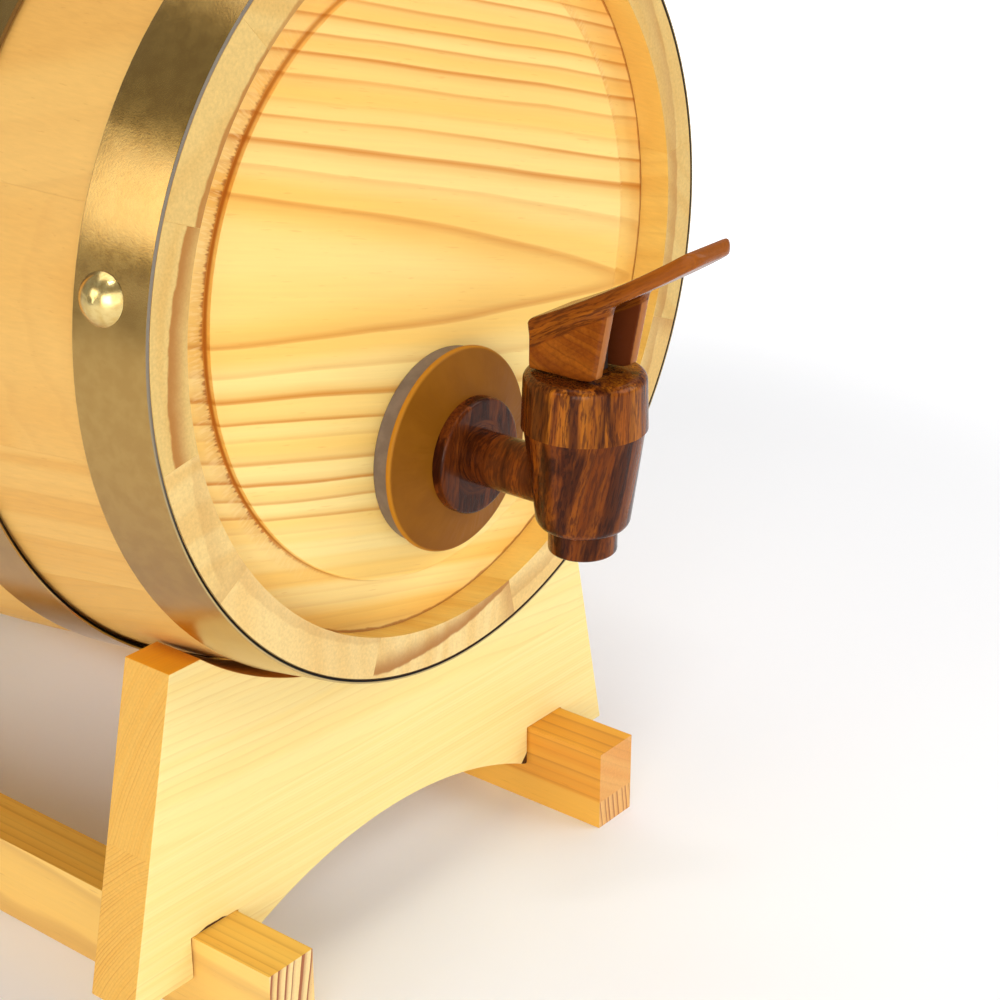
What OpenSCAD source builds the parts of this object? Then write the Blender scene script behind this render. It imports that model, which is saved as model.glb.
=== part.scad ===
// Small wooden barrel on a stand, with a lever tap in its front head.
// The barrel lies along Y with its tap to the front (-Y). Z is up and the floor is z = 0.
// Places along the barrel are measured from the front ends of the staves, positive to the rear.

/* [Barrel] */
// Length of the barrel over the stave ends
barrel_len = 240; // [220:1:300]
// Outside diameter of the wood at each end
end_d = 168; // [150:1:190]
// Thickness of the staves
stave_t = 9; // [8:0.1:12]
// Slope of the straight stretch at each end of a stave, in degrees
end_slope = 9.4; // [7:0.1:11]

/* [Hoops] */
// Width of the hoops at the two ends
rim_hoop_w = 16; // [12:0.5:18]
// Width of the two hoops beside the belly
belly_hoop_w = 15; // [12:0.5:18]
// Distance from the stave ends to the belly hoops
belly_hoop_at = 44; // [40:0.5:50]
// Thickness of the hoop strip
hoop_t = 0.9; // [0.6:0.1:1.5]
// How far the outer edge of a belly hoop stands off the wood
hoop_lip = 0.7; // [0.1:0.1:1.2]
// Diameter of the rivet heads
rivet_d = 9.9; // [7:0.1:11]
// Height of the rivet heads
rivet_h = 2.8; // [2:0.1:3.5]
// Diameter of the rivet shanks
rivet_shank_d = 4; // [3:0.1:5]
// How far the rivets sit from the middle of their strip, towards the belly
rivet_off = 2; // [0:0.1:2.5]

/* [Heads] */
// Depth of the head's edge behind the stave ends
croze_at = 8.5; // [7:0.1:12]
// Width of the groove that holds the head
croze_w = 4.6; // [4:0.1:6]
// Depth of the groove that holds the head
croze_depth = 3; // [2:0.1:4]
// Diameter of the raised panel
panel_d = 128.8; // [100:0.1:135]
// Depth of the raised panel's face behind the stave ends
panel_at = 5.3; // [4:0.1:6]
// Height of the panel's step above the border
panel_step = 2; // [1:0.1:2.5]
// Thickness of the head at its panel
head_t = 10.7; // [9.5:0.1:13]
// Width of the slope round the back of the head
back_slope_w = 5; // [3:0.5:8]

/* [Bung] */
// Diameter of the filling hole
bung_hole_d = 24; // [18:0.5:28]
// Diameter of the bung's head
bung_head_d = 31; // [30:0.5:36]
// Height of the bung's head
bung_head_h = 11; // [8:0.5:16]
// Rounding of the bung's upper edge
bung_round = 3; // [1:0.5:4]
// How far the bung reaches below its seat
bung_shank_l = 16; // [13:0.5:20]

/* [Stand] */
// Thickness of the saddle boards
board_t = 13; // [10:0.5:16]
// Distance from the stave ends to the saddle boards
board_at = 20.8; // [19:0.1:24]
// Half of the arc that the saddle takes round the barrel, in degrees
saddle_wrap = 39.4; // [34:0.1:44]
// Width of the flat on top of each saddle horn
horn_w = 8.7; // [6:0.1:14]
// Slope of the boards' sides from upright, in degrees
board_splay = 12.4; // [8:0.1:16]
// Height of wood between the arch and the saddle
web_h = 40.9; // [30:0.1:60]
// Rise of the arch above the boards' lower edge
arch_rise = 11.9; // [8:0.1:18]
// Width of the board's lower edge between the arch and a rail
arch_toe = 0.8; // [0.5:0.1:10]
// Width of the rails
rail_w = 13; // [10:0.5:16]
// Height of the rails
rail_h = 20.6; // [16:0.1:26]
// How far the boards straddle the rails
notch_depth = 10; // [6:0.1:13]
// Width of the board's foot outside each rail
foot_w = 17.7; // [12:0.1:24]
// How far the rails reach past the barrel's ends
rail_over = 1.5; // [0.5:0.1:20]
// Diameter of the stand screws
screw_d = 3.5; // [3:0.1:4.5]
// Diameter of the screw heads
screw_head_d = 7; // [6.5:0.1:8]
// Length of screw in the boards
screw_bite = 20; // [14:0.5:26]

/* [Tap] */
// Height of the barrel's axis above the tap's neck
tap_drop = 36.7; // [30:0.1:44]
// Diameter of the gasket against the head
gasket_d = 42.6; // [34:0.1:48]
// Thickness of the gasket
gasket_t = 4.3; // [3:0.1:6]
// Diameter of the washer in front of the gasket
washer_d = 44.4; // [36:0.1:50]
// Thickness of the washer at its rim
washer_rim_t = 1.2; // [1.1:0.1:3]
// Rise of the washer from its rim to the flange
washer_rise = 2.9; // [1:0.1:4]
// Rounding of the washer's rim
washer_round = 0.9; // [0.3:0.1:1]
// Diameter of the flange
flange_d = 25; // [22:0.1:30]
// Thickness of the flange
flange_t = 2.8; // [2.2:0.1:5]
// Rounding of the flange's front edge
flange_round = 0.8; // [0.3:0.1:1.2]
// Diameter of the neck
neck_d = 11.6; // [10:0.1:13]
// Distance from the flange's front face to the tap's upright axis
neck_l = 26.4; // [22:0.1:36]
// Diameter of the shank through the head
shank_d = 15.4; // [14:0.1:18]
// Diameter of the waterway in the shank and neck
waterway_d = 7.2; // [5:0.1:8]
// Diameter of the spout's outlet
outlet_d = 8.4; // [6:0.1:10]
// Outside diameter of the spout
spout_d = 14.1; // [13:0.1:16]
// Length of the spout below the body
spout_l = 5.3; // [4:0.1:10]
// Diameter of the body at its lower end
body_low_d = 19.4; // [18.6:0.1:22]
// Diameter of the body at its seam with the bonnet
body_top_d = 24.4; // [23:0.1:27]
// Depth of the body below the neck's axis
body_drop = 8.3; // [7.5:0.1:12]
// Rounding under the body
body_round = 2.6; // [1:0.1:2.6]
// Height of the seam above the neck's axis
seam_h = 13.3; // [10:0.1:18]
// Diameter of the chamber in the body
chamber_d = 14.8; // [13:0.1:15.4]
// Thickness of the chamber's floor
floor_t = 3; // [2.4:0.1:3.4]

/* [Bonnet] */
// Diameter of the bonnet at its seam
bonnet_d = 25.4; // [25:0.1:30]
// Diameter of the bonnet at its top
bonnet_top_d = 24.7; // [23:0.1:29]
// Height of the bonnet
bonnet_h = 11.7; // [10:0.1:16]
// Thickness of the bonnet's top
bonnet_top_t = 3; // [2:0.1:4]
// Rounding of the bonnet's upper edge
bonnet_round = 1.8; // [0.5:0.1:2.5]
// Wall of the body's collar inside the bonnet
collar_t = 2.4; // [1.5:0.1:3]
// Thickness of the seal under the bonnet's top
seal_t = 1.2; // [0.8:0.1:2]

/* [Valve] */
// Diameter of the stem
stem_d = 4.4; // [3.5:0.1:5]
// Width of the stem's eye between the cheeks
eye_w = 6; // [4:0.1:7.6]
// Diameter of the stem's eye
eye_d = 6.4; // [5:0.1:7]
// Diameter of the lever pin
pin_d = 3; // [2:0.1:3.5]
// Diameter of the seat cup
cup_d = 12; // [10.6:0.1:12.4]
// Height of the seat cup
cup_h = 6.5; // [5:0.1:7.5]
// Diameter of the spring's plate on the stem
plate_d = 11; // [10.4:0.1:12.4]
// Thickness of the spring's plate
plate_t = 1.4; // [1:0.1:2]
// Diameter of the spring wire
wire_d = 0.9; // [0.6:0.1:1.1]
// Mean diameter of the spring
spring_d = 8; // [7:0.1:9]
// Number of turns in the spring
spring_turns = 6; // [3:0.5:7]

/* [Lever] */
// Length of the lever's plate along its slope
lever_l = 43; // [36:0.5:60]
// Width of the lever's plate
lever_w = 14.8; // [14:0.1:20]
// Thickness of the lever's plate
lever_t = 3.2; // [2:0.1:3.5]
// Slope of the plate at its rear edge, in degrees
lever_slope = 24; // [20:0.1:34]
// Radius of the plate's upward curve
lever_curve = 250; // [250:10:1200]
// Rounding of the plate's front corners, seen from above
lever_round = 4; // [1:0.1:7]
// Distance from the tap's axis back to the lever's rear edge
lever_back = 9.6; // [8.5:0.1:12]
// Height of the plate's rear edge above the bonnet
lever_rear_h = 10.2; // [9:0.1:14]
// Width over the cheeks
cheeks_w = 14; // [12.6:0.1:15]
// Thickness of each cheek
cheek_t = 2.5; // [2:0.1:2.6]
// Thickness of the wall behind the cheeks
lever_wall_t = 2.4; // [1.5:0.1:3]
// How far the cheeks' front edges reach under the plate
cheek_reach = 10.6; // [9.5:0.1:13]
// Height of the pin above the lever's flat foot
pin_h = 5; // [4.6:0.1:6]
// Travel of the lever, in degrees
lever_travel = 35; // [20:1:38]
// Rise of the stem over that travel
stem_rise = 2.5; // [1.5:0.1:3]

/* [Fastening] */
// Thickness of the washer behind the head
inner_washer_t = 2; // [1.5:0.1:3]
// Diameter of that washer
inner_washer_d = 32; // [28:0.5:36]
// Width of the lock nut across its flats
nut_flats = 24; // [22:0.5:28]
// Thickness of the lock nut
nut_t = 7; // [5:0.5:10]
// How far the shank stands past the nut
shank_past = 4; // [2:0.5:8]

/* [Fits] */
// Gap between pieces that are glued or pressed together
slip = 0.05; // [0.03:0.01:0.08]
// Gap round a pin or stem that moves in its hole
run = 0.06; // [0.04:0.01:0.1]
// Gap between the bung and its hole
bung_gap = 0.1; // [0.08:0.01:0.2]
// Gap between the barrel and its saddles
saddle_gap = 0.3; // [0.2:0.05:0.6]
// Gap between a rail and its notch
notch_gap = 0.4; // [0.1:0.05:0.8]
// Gap between the lever's foot and the bonnet
foot_gap = 0.3; // [0.2:0.05:0.5]
// Gap between the seat cup and its seat
seat_gap = 0.1; // [0.05:0.05:0.3]

/* [Hidden] */

// Smoothness of turned and drilled shapes
$fn = 96;
// Steps along the bowed middle of a stave
bow_steps = 16;
// Steps in a small rounding
round_steps = 6;
// Steps along the lever's curved shapes
lever_steps = 8;
// Reach of a cut past the face that it starts from
past = 1;

// Angles of the stave joints round the barrel, seen from the front and counted from the right
stave_joints = [9, 40, 72, 106, 133, 159, 191, 213, 250, 283, 312, 340];
stave_count = len(stave_joints);
// Angles of the rivets on the four hoops, front to rear
rivet_angles = [169.5, 300, 240, 170];

// Shape of the staves
end_r = end_d / 2;
hoop_margin = 1;
end_straight = belly_hoop_at + belly_hoop_w + hoop_margin;
bow_r = (barrel_len / 2 - end_straight) / sin(end_slope);
belly_r = end_r + end_straight * tan(end_slope) + bow_r * (1 - cos(end_slope));
croze_r = in_r(croze_at) + croze_depth;

// Heights, from the floor up to the barrel's axis
board_low = rail_h - notch_depth;
saddle_r = out_r(board_at + board_t) + saddle_gap;
axis_z = board_low + arch_rise + web_h + saddle_r;

// Saddle boards and rails
horn_in = saddle_r * sin(saddle_wrap);
horn_z = axis_z - saddle_r * cos(saddle_wrap);
horn_out = horn_in + horn_w;
foot_out = horn_out + (horn_z - board_low) * tan(board_splay);
rail_out = foot_out - foot_w;
rail_in = rail_out - rail_w;
rail_x = (rail_in + rail_out) / 2;
arch_half = rail_in - notch_gap - arch_toe;
arch_r = (pow(arch_half, 2) + pow(arch_rise, 2)) / (2 * arch_rise);
screw_sunk = 0.6;
screw_head_h = (screw_head_d - screw_d) / 2;
screw_tip = 4;

// Bung and its seat
bung_flat_d = bung_head_d + 2;
bung_flat_sunk = 0.2;
bung_seat_z = axis_z + sqrt(pow(belly_r, 2) - pow(bung_flat_d / 2, 2)) - bung_flat_sunk;
bung_d = bung_hole_d - 2 * bung_gap;
bung_taper = 1;

// Tap, from the panel outwards
tap_z = axis_z - tap_drop;
washer_back = panel_at - gasket_t;
washer_front = washer_back - washer_rim_t;
flange_back = washer_front - washer_rise;
flange_front = flange_back - flange_t;
tap_at = flange_front - neck_l;
head_back = panel_at + head_t;
nut_front = head_back + inner_washer_t;
shank_end = nut_front + nut_t + shank_past;
hole_gap = 0.6;

// Heights in the tap, from the neck's axis
spout_low = -body_drop - spout_l;
floor_h = floor_t - body_drop;
bonnet_top = seam_h + bonnet_h;
ceiling = bonnet_top - bonnet_top_t;
collar_top = ceiling - seal_t;
collar_r = chamber_d / 2 + collar_t;
cup_low = floor_h + seat_gap;
cup_top = cup_low + cup_h;
plate_low = cup_top + slip;
plate_top = plate_low + plate_t;
pin_z = bonnet_top + foot_gap + pin_h;
stem_low = cup_low + cup_h / 2;
bulb_step = 1;
bulb_d = stem_d + 2 * bulb_step;
bulb_h = 2;

// Lever, from its pin: forward is positive and up is positive
cam_k = stem_rise / (lever_travel * PI / 180);
cheeks_in = cheeks_w / 2 - cheek_t;
socket_depth = 1.5;
wall_lean = 0.5;
tip_share = 0.4;
lever_tip_r = tip_share * lever_t;
lever_tip = [for (q = concat(
    arc([lever_l - lever_tip_r, lever_tip_r], lever_tip_r, -90, 0, round_steps),
    arc([lever_l - lever_tip_r, lever_t - lever_tip_r], lever_tip_r, 0, 90, round_steps)
)) lever_point(q[0], q[1])];
lever_reach = max([for (q = lever_tip) q[0]]);
lever_rear_z = lever_rear_h - foot_gap - pin_h;

// The object's box is centred on the origin along Y
front_most = tap_at - lever_reach;
rear_most = barrel_len + rail_over;
front_y = -(front_most + rear_most) / 2;

// Outside and inside radius of the barrel at a place along it
function out_r(s) =
    let (d = min(s, barrel_len - s))
    d <= end_straight
        ? end_r + d * tan(end_slope)
        : belly_r - bow_r + sqrt(pow(bow_r, 2) - pow(s - barrel_len / 2, 2));
function in_r(s) = out_r(s) - stave_t;

// Points of an arc from angle a0 to a1 round a centre
function arc(centre, r, a0, a1, steps) =
    [for (i = [0:steps]) let (a = a0 + (a1 - a0) * i / steps) centre + r * [cos(a), sin(a)]];

function reversed(list) = [for (i = [len(list) - 1:-1:0]) list[i]];

// An outline given from the front end, turned end for end
function from_rear(outline) = [for (q = outline) [q[0], barrel_len - q[1]]];

function stave_name(i) = str("stave_", i < 9 ? "0" : "", i + 1);

// A point on the lever's plate: l along its upper face from the rear, d below that face
function lever_point(l, d) =
    let (a = lever_slope + l / lever_curve * 180 / PI)
    [
        lever_curve * (sin(a) - sin(lever_slope)) + d * sin(a) - lever_back,
        lever_curve * (cos(lever_slope) - cos(a)) - d * cos(a)
    ];

// A point of the cheeks' rolling foot after the lever has turned by an angle
function cam_point(a) =
    let (p = pin_h + cam_k * a * PI / 180)
    [p * sin(a) + cam_k * cos(a), cam_k * sin(a) - p * cos(a)];

// Frame measured from the front stave ends
module from_front() translate([0, front_y, 0]) children();

// Frame with Z along the barrel's axis, from front to rear
module along_barrel() from_front() translate([0, 0, axis_z]) rotate([-90, 0, 0]) children();

// Frame on the tap's upright axis, at the height of its neck
module at_tap() from_front() translate([0, tap_at, tap_z]) children();

// Frame along the tap's shank, with Z to the rear
module along_shank() from_front() translate([0, 0, tap_z]) rotate([-90, 0, 0]) children();

module ring(r_out, r_in, from, to) {
    translate([0, 0, from]) difference() {
        cylinder(r = r_out, h = to - from);
        translate([0, 0, -past]) cylinder(r = r_in, h = to - from + 2 * past);
    }
}

// What stands at the barrel's front end, mirrored to its rear end
module at_rear() {
    from_front() translate([0, barrel_len, 0]) mirror([0, 1, 0]) translate([0, -front_y, 0]) children();
}

// Stand

module rail_section() {
    translate([rail_in, 0]) square([rail_w, rail_h]);
}

module board_outline() {
    difference() {
        polygon([
            [-foot_out, board_low], [foot_out, board_low], [horn_out, horn_z], [-horn_out, horn_z]
        ]);
        translate([0, axis_z]) circle(r = saddle_r, $fn = 180);
        translate([0, board_low + arch_rise - arch_r]) circle(r = arch_r, $fn = 180);
        for (side = [0, 1]) mirror([side, 0])
            translate([rail_in - notch_gap, board_low - past])
                square([rail_w + 2 * notch_gap, notch_depth + past]);
    }
}

module screw_places() {
    for (s = [board_at + board_t / 2, barrel_len - board_at - board_t / 2])
        for (x = [-rail_x, rail_x])
            from_front() translate([x, s, 0]) children();
}

module screw(grow) {
    rotate_extrude() polygon([
        [0, screw_sunk], [screw_head_d / 2 + grow, screw_sunk],
        [screw_d / 2 + grow, screw_sunk + screw_head_h],
        [screw_d / 2 + grow, rail_h + screw_bite - screw_tip],
        [0, rail_h + screw_bite + grow]
    ]);
}

module screw_hole() {
    screw(slip);
    translate([0, 0, -past]) cylinder(r = screw_head_d / 2 + slip, h = screw_sunk + past);
}

module saddle_board() {
    difference() {
        from_front() translate([0, board_at + board_t, 0]) rotate([90, 0, 0])
            linear_extrude(board_t) board_outline();
        screw_places() screw_hole();
    }
}

module front_saddle() {
    color("#f0cf8a") saddle_board();
}

module rear_saddle() {
    color("#f0cf8a") at_rear() saddle_board();
}

module right_rail() {
    color("#eabb6a") difference() {
        from_front() translate([0, barrel_len + rail_over, 0]) rotate([90, 0, 0])
            linear_extrude(barrel_len + 2 * rail_over) rail_section();
        screw_places() screw_hole();
    }
}

module left_rail() {
    mirror([1, 0, 0]) right_rail();
}

module stand_screws() {
    color("#c9b46a") screw_places() screw(0);
}

// Barrel

module stave(i) {
    from = stave_joints[i];
    to = i + 1 < stave_count ? stave_joints[i + 1] : stave_joints[0] + 360;
    bow = [for (k = [0:bow_steps]) end_straight + k * (barrel_len - 2 * end_straight) / bow_steps];
    outside = [for (s = concat([0], bow, [barrel_len])) [out_r(s), s]];
    croze = [
        [in_r(0), 0], [in_r(croze_at), croze_at], [croze_r, croze_at],
        [croze_r, croze_at + croze_w], [in_r(croze_at + croze_w), croze_at + croze_w]
    ];
    inside = concat(from_rear(croze), reversed([for (s = bow) [in_r(s), s]]), reversed(croze));
    color("#e9c07c") difference() {
        along_barrel() rotate([0, 0, -to]) rotate_extrude(angle = to - from)
            polygon(concat(outside, inside));
        if (from < 90 && to > 90) from_front() translate([0, barrel_len / 2, 0]) {
            translate([0, 0, axis_z]) cylinder(d = bung_hole_d, h = belly_r + past);
            translate([0, 0, bung_seat_z]) cylinder(d = bung_flat_d, h = belly_r);
        }
    }
}

module head_disc() {
    panel_r = panel_d / 2;
    edge_r = croze_r - 2 * slip;
    wall_r = in_r(croze_at) - 2 * slip;
    rear_wall_r = in_r(croze_at + croze_w) - 2 * slip;
    rotate_extrude() polygon([
        [0, panel_at], [panel_r, panel_at], [panel_r, panel_at + panel_step],
        [wall_r, croze_at + slip], [edge_r, croze_at + slip],
        [edge_r, croze_at + croze_w - slip], [rear_wall_r, croze_at + croze_w - slip],
        [rear_wall_r - back_slope_w, head_back], [0, head_back]
    ]);
}

module front_head() {
    color("#f6d282") difference() {
        along_barrel() head_disc();
        along_shank() cylinder(d = shank_d + 2 * hole_gap, h = head_back + past);
    }
}

module rear_head() {
    color("#f6d282") at_rear() along_barrel() head_disc();
}

// Hoop between two places along the barrel, with its front edge lifted off the wood
module hoop(from, to, lip, rivet_angle) {
    r0 = out_r(from) + slip + lip;
    r1 = out_r(to) + slip;
    difference() {
        rotate_extrude() polygon([[r0, from], [r0 + hoop_t, from], [r1 + hoop_t, to], [r1, to]]);
        on_hoop(from, to, lip, rivet_angle) translate([0, 0, -hoop_t - past])
            cylinder(d = rivet_shank_d + 2 * slip, h = hoop_t + 2 * past);
    }
}

// Frame at the rivet on a hoop's outer face, with Z outwards
module on_hoop(from, to, lip, angle) {
    r0 = out_r(from) + slip + lip;
    r1 = out_r(to) + slip;
    tilt = atan((r1 - r0) / (to - from));
    rotate([0, 0, -angle]) translate([(r0 + r1) / 2 + hoop_t, 0, (from + to) / 2])
        rotate([0, 90 + tilt, 0]) translate([-rivet_off, 0, 0]) children();
}

module rim_hoop(rivet_angle) {
    along_barrel() hoop(0, rim_hoop_w, 0, rivet_angle);
}

module belly_hoop(rivet_angle) {
    along_barrel() hoop(belly_hoop_at, belly_hoop_at + belly_hoop_w, hoop_lip, rivet_angle);
}

module front_rim_hoop() {
    color("#8d7440") rim_hoop(rivet_angles[0]);
}

module front_belly_hoop() {
    color("#8d7440") belly_hoop(rivet_angles[1]);
}

module rear_belly_hoop() {
    color("#8d7440") at_rear() belly_hoop(rivet_angles[2]);
}

module rear_rim_hoop() {
    color("#8d7440") at_rear() rim_hoop(rivet_angles[3]);
}

module rivet() {
    ball_r = (pow(rivet_d / 2, 2) + pow(rivet_h, 2)) / (2 * rivet_h);
    rotate_extrude() intersection() {
        translate([0, rivet_h - ball_r]) circle(r = ball_r);
        square([rivet_d, rivet_h]);
    }
    translate([0, 0, -hoop_t]) cylinder(d = rivet_shank_d, h = hoop_t + slip);
}

module hoop_rivets() {
    color("#d8bd62") {
        along_barrel() on_hoop(0, rim_hoop_w, 0, rivet_angles[0]) rivet();
        along_barrel()
            on_hoop(belly_hoop_at, belly_hoop_at + belly_hoop_w, hoop_lip, rivet_angles[1]) rivet();
        at_rear() along_barrel()
            on_hoop(belly_hoop_at, belly_hoop_at + belly_hoop_w, hoop_lip, rivet_angles[2]) rivet();
        at_rear() along_barrel() on_hoop(0, rim_hoop_w, 0, rivet_angles[3]) rivet();
    }
}

module bung() {
    top = bung_head_h;
    shank_r = bung_d / 2;
    head_r = bung_head_d / 2;
    color("#d9a860") from_front() translate([0, barrel_len / 2, bung_seat_z])
        rotate_extrude() polygon(concat(
            [
                [0, -bung_shank_l], [shank_r - bung_taper, -bung_shank_l], [shank_r, -bung_shank_l / 2],
                [shank_r, slip], [head_r, slip]
            ],
            arc([head_r - bung_round, top - bung_round], bung_round, 0, 90, round_steps),
            [[0, top]]
        ));
}

// Tap

module tap_gasket() {
    color("#9b9389") along_shank() ring(gasket_d / 2, shank_d / 2 + slip, washer_back, panel_at);
}

module tap_washer() {
    rim_r = washer_d / 2;
    color("#a8742f") along_shank() rotate_extrude() polygon(concat(
        [[shank_d / 2 + slip, washer_back - slip], [rim_r, washer_back - slip]],
        arc([rim_r - washer_round, washer_front + washer_round], washer_round, 0, -90, round_steps),
        [[flange_d / 2, flange_back], [shank_d / 2 + slip, flange_back]]
    ));
}

module tap_solid() {
    low_r = body_low_d / 2;
    spout_edge = 0.8;
    rotate_extrude() polygon(concat(
        [[0, spout_low]],
        arc([spout_d / 2 - spout_edge, spout_low + spout_edge], spout_edge, -90, 0, round_steps),
        [[spout_d / 2, -body_drop]],
        arc([low_r - body_round, body_round - body_drop], body_round, -90, 0, round_steps),
        [[body_top_d / 2, seam_h], [collar_r, seam_h], [collar_r, collar_top], [0, collar_top]]
    ));
}

module tap_flange() {
    edge_r = flange_d / 2 - flange_round;
    rotate_extrude() polygon(concat(
        [[0, flange_front]],
        arc([edge_r, flange_front + flange_round], flange_round, -90, 0, round_steps),
        [[flange_d / 2, flange_back - slip], [0, flange_back - slip]]
    ));
}

module tap_body() {
    seat_h = 1.4;
    flange_mid = (flange_front + flange_back) / 2;
    color("#7b4218") difference() {
        union() {
            at_tap() tap_solid();
            along_shank() {
                translate([0, 0, tap_at]) cylinder(d = neck_d, h = flange_mid - tap_at);
                tap_flange();
                translate([0, 0, flange_mid]) cylinder(d = shank_d, h = shank_end - flange_mid);
            }
        }
        at_tap() {
            translate([0, 0, floor_h]) cylinder(d = chamber_d, h = collar_top - floor_h + past);
            translate([0, 0, spout_low - past]) cylinder(d = outlet_d, h = floor_h - spout_low + 2 * past);
            translate([0, 0, floor_h - seat_h])
                cylinder(d1 = outlet_d, d2 = outlet_d + 2 * seat_h, h = seat_h);
        }
        along_shank() translate([0, 0, tap_at]) cylinder(d = waterway_d, h = shank_end - tap_at + past);
    }
}

module tap_bonnet() {
    top_r = bonnet_top_d / 2;
    color("#6f3a16") at_tap() rotate_extrude() polygon(concat(
        [[collar_r + slip, seam_h + slip], [bonnet_d / 2, seam_h + slip]],
        arc([top_r - bonnet_round, bonnet_top - bonnet_round], bonnet_round, 0, 90, round_steps),
        [[stem_d / 2 + run, bonnet_top], [stem_d / 2 + run, ceiling], [collar_r + slip, ceiling]]
    ));
}

module bonnet_seal() {
    color("#d8d4cc") at_tap() ring(collar_r, stem_d / 2 + run, collar_top + slip, ceiling - slip);
}

module valve_stem() {
    color("#c9c4ba") at_tap() difference() {
        union() {
            translate([0, 0, stem_low]) cylinder(d = stem_d, h = pin_z - stem_low);
            translate([0, 0, stem_low]) cylinder(d = bulb_d, h = bulb_h);
            translate([0, 0, plate_low]) cylinder(d = plate_d, h = plate_t);
            translate([-eye_w / 2, -eye_d / 2, bonnet_top + foot_gap]) cube([eye_w, eye_d, pin_h]);
            translate([-eye_w / 2, 0, pin_z]) rotate([0, 90, 0]) cylinder(d = eye_d, h = eye_w);
        }
        translate([-eye_w, 0, pin_z]) rotate([0, 90, 0]) cylinder(d = pin_d + 2 * slip, h = 2 * eye_w);
    }
}

module seat_cup() {
    shoulder = 2;
    color("#e6dfd0") at_tap() difference() {
        rotate_extrude() polygon([
            [0, cup_low], [cup_d / 2, cup_low], [cup_d / 2, cup_low + shoulder],
            [bulb_d / 2 + shoulder, cup_top], [0, cup_top]
        ]);
        translate([0, 0, stem_low - slip]) cylinder(d = bulb_d + 2 * slip, h = bulb_h + 2 * slip);
        translate([0, 0, stem_low]) cylinder(d = stem_d + 2 * slip, h = cup_h);
    }
}

// Spring wound as one tube, with rings of points along its helix
module return_spring() {
    low = plate_top + slip + wire_d / 2;
    high = collar_top - wire_d / 2;
    turn_rings = 8;
    rings = ceil(turn_rings * spring_turns);
    sides = 6;
    pitch = (high - low) / spring_turns;
    climb = atan(pitch / (PI * spring_d));
    points = [for (i = [0:rings]) let (t = 360 * spring_turns * i / rings)
        for (k = [0:sides - 1]) let (
            a = 360 * k / sides,
            u = wire_d / 2 * cos(a),
            v = wire_d / 2 * sin(a),
            r = spring_d / 2 + u
        )
        [r * cos(t) + v * sin(climb) * sin(t), r * sin(t) - v * sin(climb) * cos(t),
            low + (high - low) * i / rings + v * cos(climb)]];
    sleeve = [for (i = [0:rings - 1]) for (k = [0:sides - 1]) let (
            p = i * sides + k,
            q = i * sides + (k + 1) % sides
        )
        each [[p, q + sides, q], [p, p + sides, q + sides]]];
    first = [for (k = [1:sides - 2]) [0, k, k + 1]];
    end = rings * sides;
    last = [for (k = [1:sides - 2]) [end, end + k + 1, end + k]];
    gap = min([for (i = [0:rings - turn_rings]) for (k = [0:sides - 1]) for (m = [0:sides - 1])
        norm(points[i * sides + k] - points[(i + turn_rings) * sides + m])]);
    echo(str("least gap between the spring's turns: ", gap, " mm"));
    color("#b9bcc0") at_tap() polyhedron(points, concat(sleeve, first, last));
}

module lever_pin() {
    half = cheeks_in + socket_depth - slip;
    color("#b9bcc0") at_tap() translate([-half, 0, pin_z]) rotate([0, 90, 0])
        cylinder(d = pin_d, h = 2 * half);
}

// Frame on the lever pin: first axis forward, second axis up, extruded across the lever
module lever_section(width) {
    at_tap() translate([width / 2, 0, pin_z]) rotate([90, 0, -90]) linear_extrude(width) children();
}

module lever_plate() {
    ls = [for (i = [0:lever_steps - 1]) (lever_l - lever_tip_r) * i / lever_steps];
    translate([0, lever_rear_z]) polygon(concat(
        [for (l = ls) lever_point(l, 0)],
        lever_tip,
        reversed([for (l = ls) lever_point(l, lever_t)])
    ));
}

// Side of a cheek: flat foot, rolling front corner, then up to the plate
module cheek_side() {
    rear = [0, lever_rear_z];
    under = lever_point(0, lever_t / 2) + rear;
    reach = [for (i = [1:lever_steps]) let (q = lever_point(lever_l * i / lever_steps, lever_t / 2) + rear)
        if (q[0] < cheek_reach) q];
    front_z = lever_rear_z + (cheek_reach + lever_back) * tan(lever_slope) - lever_t / 2;
    polygon(concat(
        [under, [wall_lean - lever_back, -pin_h]],
        [for (i = [0:lever_steps]) cam_point(lever_travel * i / lever_steps)],
        [[cheek_reach, front_z]],
        reversed(reach)
    ));
}

module wall_side() {
    intersection() {
        cheek_side();
        polygon([
            [-lever_back - past, lever_rear_z + past], [-lever_back - past, -pin_h],
            [wall_lean - lever_back + lever_wall_t, -pin_h], [lever_wall_t - lever_back, lever_rear_z + past]
        ]);
    }
}

module tap_lever() {
    tip = lever_reach;
    color("#a65a20") difference() {
        union() {
            intersection() {
                lever_section(lever_w) lever_plate();
                at_tap() linear_extrude(pin_z + lever_l) {
                    translate([-lever_w / 2, lever_round - tip]) square([lever_w, tip + 2 * lever_back]);
                    translate([lever_round - lever_w / 2, -tip])
                        square([lever_w - 2 * lever_round, 2 * lever_round]);
                    for (x = [-1, 1]) translate([x * (lever_w / 2 - lever_round), lever_round - tip])
                        circle(r = lever_round);
                }
            }
            for (x = [-1, 1]) translate([x * (cheeks_w - cheek_t) / 2, 0, 0])
                lever_section(cheek_t) cheek_side();
            lever_section(cheeks_w) wall_side();
        }
        at_tap() translate([-cheeks_in - socket_depth, 0, pin_z]) rotate([0, 90, 0])
            cylinder(d = pin_d + 2 * run, h = 2 * (cheeks_in + socket_depth));
    }
}

module inner_washer() {
    color("#d8d4cc") along_shank() ring(inner_washer_d / 2, shank_d / 2 + slip, head_back, nut_front - slip);
}

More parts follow.
